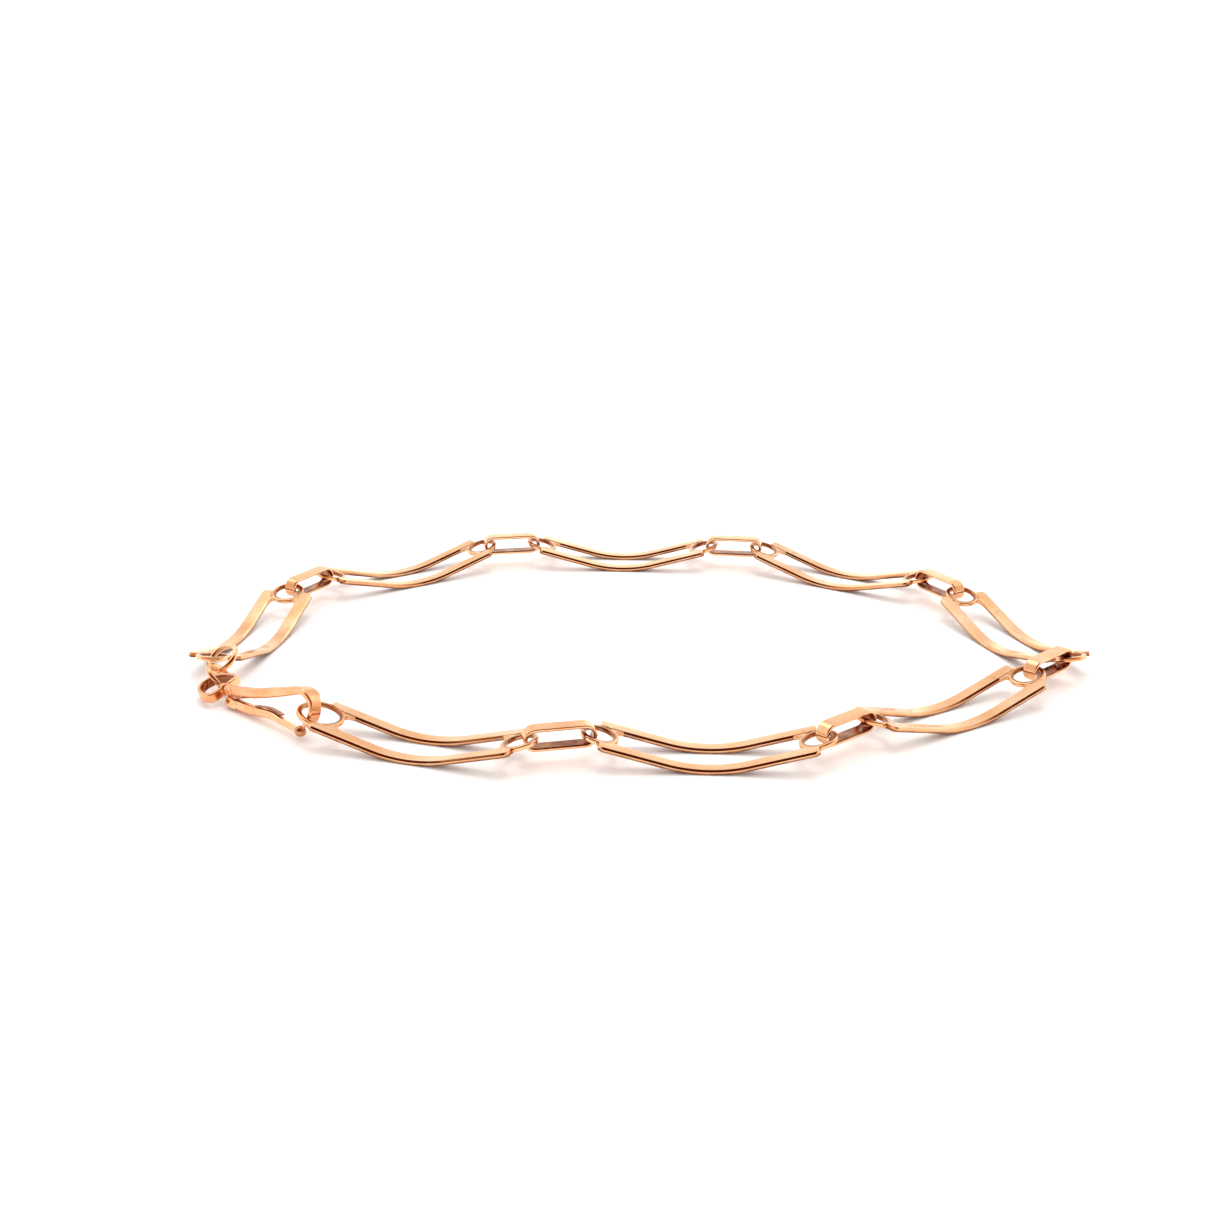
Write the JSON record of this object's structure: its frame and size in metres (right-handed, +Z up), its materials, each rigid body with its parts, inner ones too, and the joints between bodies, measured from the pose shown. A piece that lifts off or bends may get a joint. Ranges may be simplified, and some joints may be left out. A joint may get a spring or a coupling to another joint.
{
  "type": "pocket watch chain",
  "caption": "Rose-gold fancy-link pocket watch chain, lying fastened in a closed loop: long arched two-bar links joined by upright oval rings, with a sprung swivel hook.",
  "frame": {"origin": "centre of the bounding box in plan, on the table plane that the chain lies on", "axes": "+Z up from the table, +X along the long way of the loop to the right of the picture, +Y away from the camera"},
  "size_m": [0.121, 0.0836, 0.0065],
  "materials": {
    "polished_link_gold": "polished rose gold with fine scratches",
    "polished_band_gold": "polished rose gold band, darker inside",
    "wire_ring_gold": "polished rose gold wire",
    "clasp_gold": "polished rose gold, slightly redder"
  },
  "bodies": {
    "connector_4": {"connector_4": "polished_band_gold"},
    "link_4": {"link_4_outer_bar": "polished_link_gold", "link_4_inner_bar": "polished_link_gold", "link_4_ring_a": "wire_ring_gold", "link_4_ring_b": "wire_ring_gold"},
    "connector_3": {"connector_3": "polished_band_gold"},
    "link_3": {"link_3_outer_bar": "polished_link_gold", "link_3_inner_bar": "polished_link_gold", "link_3_ring_a": "wire_ring_gold", "link_3_ring_b": "wire_ring_gold"},
    "connector_2": {"connector_2": "polished_band_gold"},
    "link_2": {"link_2_outer_bar": "polished_link_gold", "link_2_inner_bar": "polished_link_gold", "link_2_ring_a": "wire_ring_gold", "link_2_ring_b": "wire_ring_gold"},
    "connector_1": {"connector_1": "polished_band_gold"},
    "link_1": {"link_1_outer_bar": "polished_link_gold", "link_1_inner_bar": "polished_link_gold", "link_1_ring_a": "wire_ring_gold", "link_1_ring_b": "wire_ring_gold"},
    "link_5": {"link_5_outer_bar": "polished_link_gold", "link_5_inner_bar": "polished_link_gold", "link_5_ring_a": "wire_ring_gold", "link_5_ring_b": "wire_ring_gold"},
    "connector_5": {"connector_5": "polished_band_gold"},
    "link_6": {"link_6_outer_bar": "polished_link_gold", "link_6_inner_bar": "polished_link_gold", "link_6_ring_a": "wire_ring_gold", "link_6_ring_b": "wire_ring_gold"},
    "connector_6": {"connector_6": "polished_band_gold"},
    "link_7": {"link_7_outer_bar": "polished_link_gold", "link_7_inner_bar": "polished_link_gold", "link_7_ring_a": "wire_ring_gold", "link_7_ring_b": "wire_ring_gold"},
    "connector_7": {"connector_7": "polished_band_gold"},
    "link_8": {"link_8_outer_bar": "polished_link_gold", "link_8_inner_bar": "polished_link_gold", "link_8_ring_a": "wire_ring_gold", "link_8_ring_b": "wire_ring_gold"},
    "jump_ring_a": {"jump_ring_a": "wire_ring_gold"},
    "jump_ring_b": {"jump_ring_b": "wire_ring_gold"},
    "bow": {"clasp_eye": "clasp_gold"},
    "clasp": {"clasp_body": "clasp_gold", "clasp_swivel_post": "clasp_gold", "clasp_lever_pin": "clasp_gold"},
    "lever": {"clasp_lever": "clasp_gold", "clasp_lever_spring": "clasp_gold"}
  },
  "joints": [
    {"name": "link_4_roll", "type": "hinge", "parent": "connector_4", "child": "link_4", "pos_m": [0.04764, 0.01323, 0.00309], "axis": [-0.3584, 0.9336, 0], "range_deg": [-6, 18]},
    {"name": "connector_3_counter_roll", "type": "hinge", "parent": "link_4", "child": "connector_3", "pos_m": [0.05694, -0.01101, 0.00309], "axis": [-0.3584, 0.9336, 0], "range_deg": [-18, 6]},
    {"name": "link_3_yaw", "type": "hinge", "parent": "connector_3", "child": "link_3", "pos_m": [0.04992, -0.01756, 0.00309], "axis": [0, 0, 1], "range_deg": [-22, 22]},
    {"name": "connector_2_counter_yaw", "type": "hinge", "parent": "link_3", "child": "connector_2", "pos_m": [0.0279, -0.03132, 0.00309], "axis": [0, 0, 1], "range_deg": [-22, 22]},
    {"name": "link_2_yaw", "type": "hinge", "parent": "connector_2", "child": "link_2", "pos_m": [0.02055, -0.03749, 0.00309], "axis": [0, 0, 1], "range_deg": [-22, 22]},
    {"name": "connector_1_counter_yaw", "type": "hinge", "parent": "link_2", "child": "connector_1", "pos_m": [-0.00538, -0.03613, 0.00309], "axis": [0, 0, 1], "range_deg": [-22, 22]},
    {"name": "link_1_yaw", "type": "hinge", "parent": "connector_1", "child": "link_1", "pos_m": [-0.01477, -0.03813, 0.00309], "axis": [0, 0, 1], "range_deg": [-11.64, 0.97]},
    {"name": "link_5_yaw", "type": "hinge", "parent": "connector_4", "child": "link_5", "pos_m": [0.04269, 0.02146, 0.00309], "axis": [0, 0, 1], "range_deg": [-12, 1]},
    {"name": "connector_5_counter_yaw", "type": "hinge", "parent": "link_5", "child": "connector_5", "pos_m": [0.02067, 0.03522, 0.00309], "axis": [0, 0, 1], "range_deg": [-1, 12]},
    {"name": "link_6_yaw", "type": "hinge", "parent": "connector_5", "child": "link_6", "pos_m": [0.01116, 0.03655, 0.00309], "axis": [0, 0, 1], "range_deg": [-22, 22]},
    {"name": "connector_6_counter_yaw", "type": "hinge", "parent": "link_6", "child": "connector_6", "pos_m": [-0.01477, 0.03791, 0.00309], "axis": [0, 0, 1], "range_deg": [-22, 22]},
    {"name": "link_7_yaw", "type": "hinge", "parent": "connector_6", "child": "link_7", "pos_m": [-0.02425, 0.03641, 0.00309], "axis": [0, 0, 1], "range_deg": [-22, 22]},
    {"name": "connector_7_counter_yaw", "type": "hinge", "parent": "link_7", "child": "connector_7", "pos_m": [-0.04627, 0.02265, 0.00309], "axis": [0, 0, 1], "range_deg": [-22, 22]},
    {"name": "link_8_roll", "type": "hinge", "parent": "connector_7", "child": "link_8", "pos_m": [-0.05135, 0.01451, 0.00309], "axis": [-0.2079, -0.9781, 0], "range_deg": [-16, 16]},
    {"name": "jump_ring_a_counter_roll", "type": "hinge", "parent": "link_8", "child": "jump_ring_a", "pos_m": [-0.05675, -0.01089, 0.00309], "axis": [-0.2079, -0.9781, 0], "range_deg": [-16, 16]},
    {"name": "jump_ring_b_turn", "type": "hinge", "parent": "jump_ring_a", "child": "jump_ring_b", "pos_m": [-0.05491, -0.01513, 0.00187], "axis": [0.7, 0.04, 0.713], "range_deg": [-30, 30]},
    {"name": "bow_counter_turn", "type": "hinge", "parent": "jump_ring_b", "child": "bow", "pos_m": [-0.05491, -0.01513, 0.00187], "axis": [0.7, 0.04, 0.713], "range_deg": [-30, 30]},
    {"name": "clasp_swivel", "type": "hinge", "parent": "bow", "child": "clasp", "pos_m": [-0.05276, -0.01987, 0.00206], "axis": [0.7479, -0.6531, 0.119], "range_deg": [-3, 20]},
    {"name": "lever_hinge", "type": "hinge", "parent": "clasp", "child": "lever", "pos_m": [-0.05241, -0.02068, 0.00085], "axis": [-0.657, -0.7025, 0.2737], "range_deg": [0, 6.8], "stiffness_Nm_per_rad": 0.002, "springref_deg": -2.86}
  ],
  "couplings": [
    {"joint": "connector_3_counter_roll", "follows": "link_4_roll", "ratio": -1},
    {"joint": "connector_5_counter_yaw", "follows": "link_5_yaw", "ratio": -1},
    {"joint": "link_1_yaw", "follows": "link_5_yaw", "ratio": 0.97},
    {"joint": "connector_6_counter_yaw", "follows": "link_6_yaw", "ratio": -1},
    {"joint": "link_2_yaw", "follows": "link_6_yaw", "ratio": 1},
    {"joint": "connector_1_counter_yaw", "follows": "link_6_yaw", "ratio": -1},
    {"joint": "connector_7_counter_yaw", "follows": "link_7_yaw", "ratio": -1},
    {"joint": "link_3_yaw", "follows": "link_7_yaw", "ratio": 1},
    {"joint": "connector_2_counter_yaw", "follows": "link_7_yaw", "ratio": -1},
    {"joint": "jump_ring_a_counter_roll", "follows": "link_8_roll", "ratio": -1},
    {"joint": "bow_counter_turn", "follows": "jump_ring_b_turn", "ratio": -1}
  ]
}
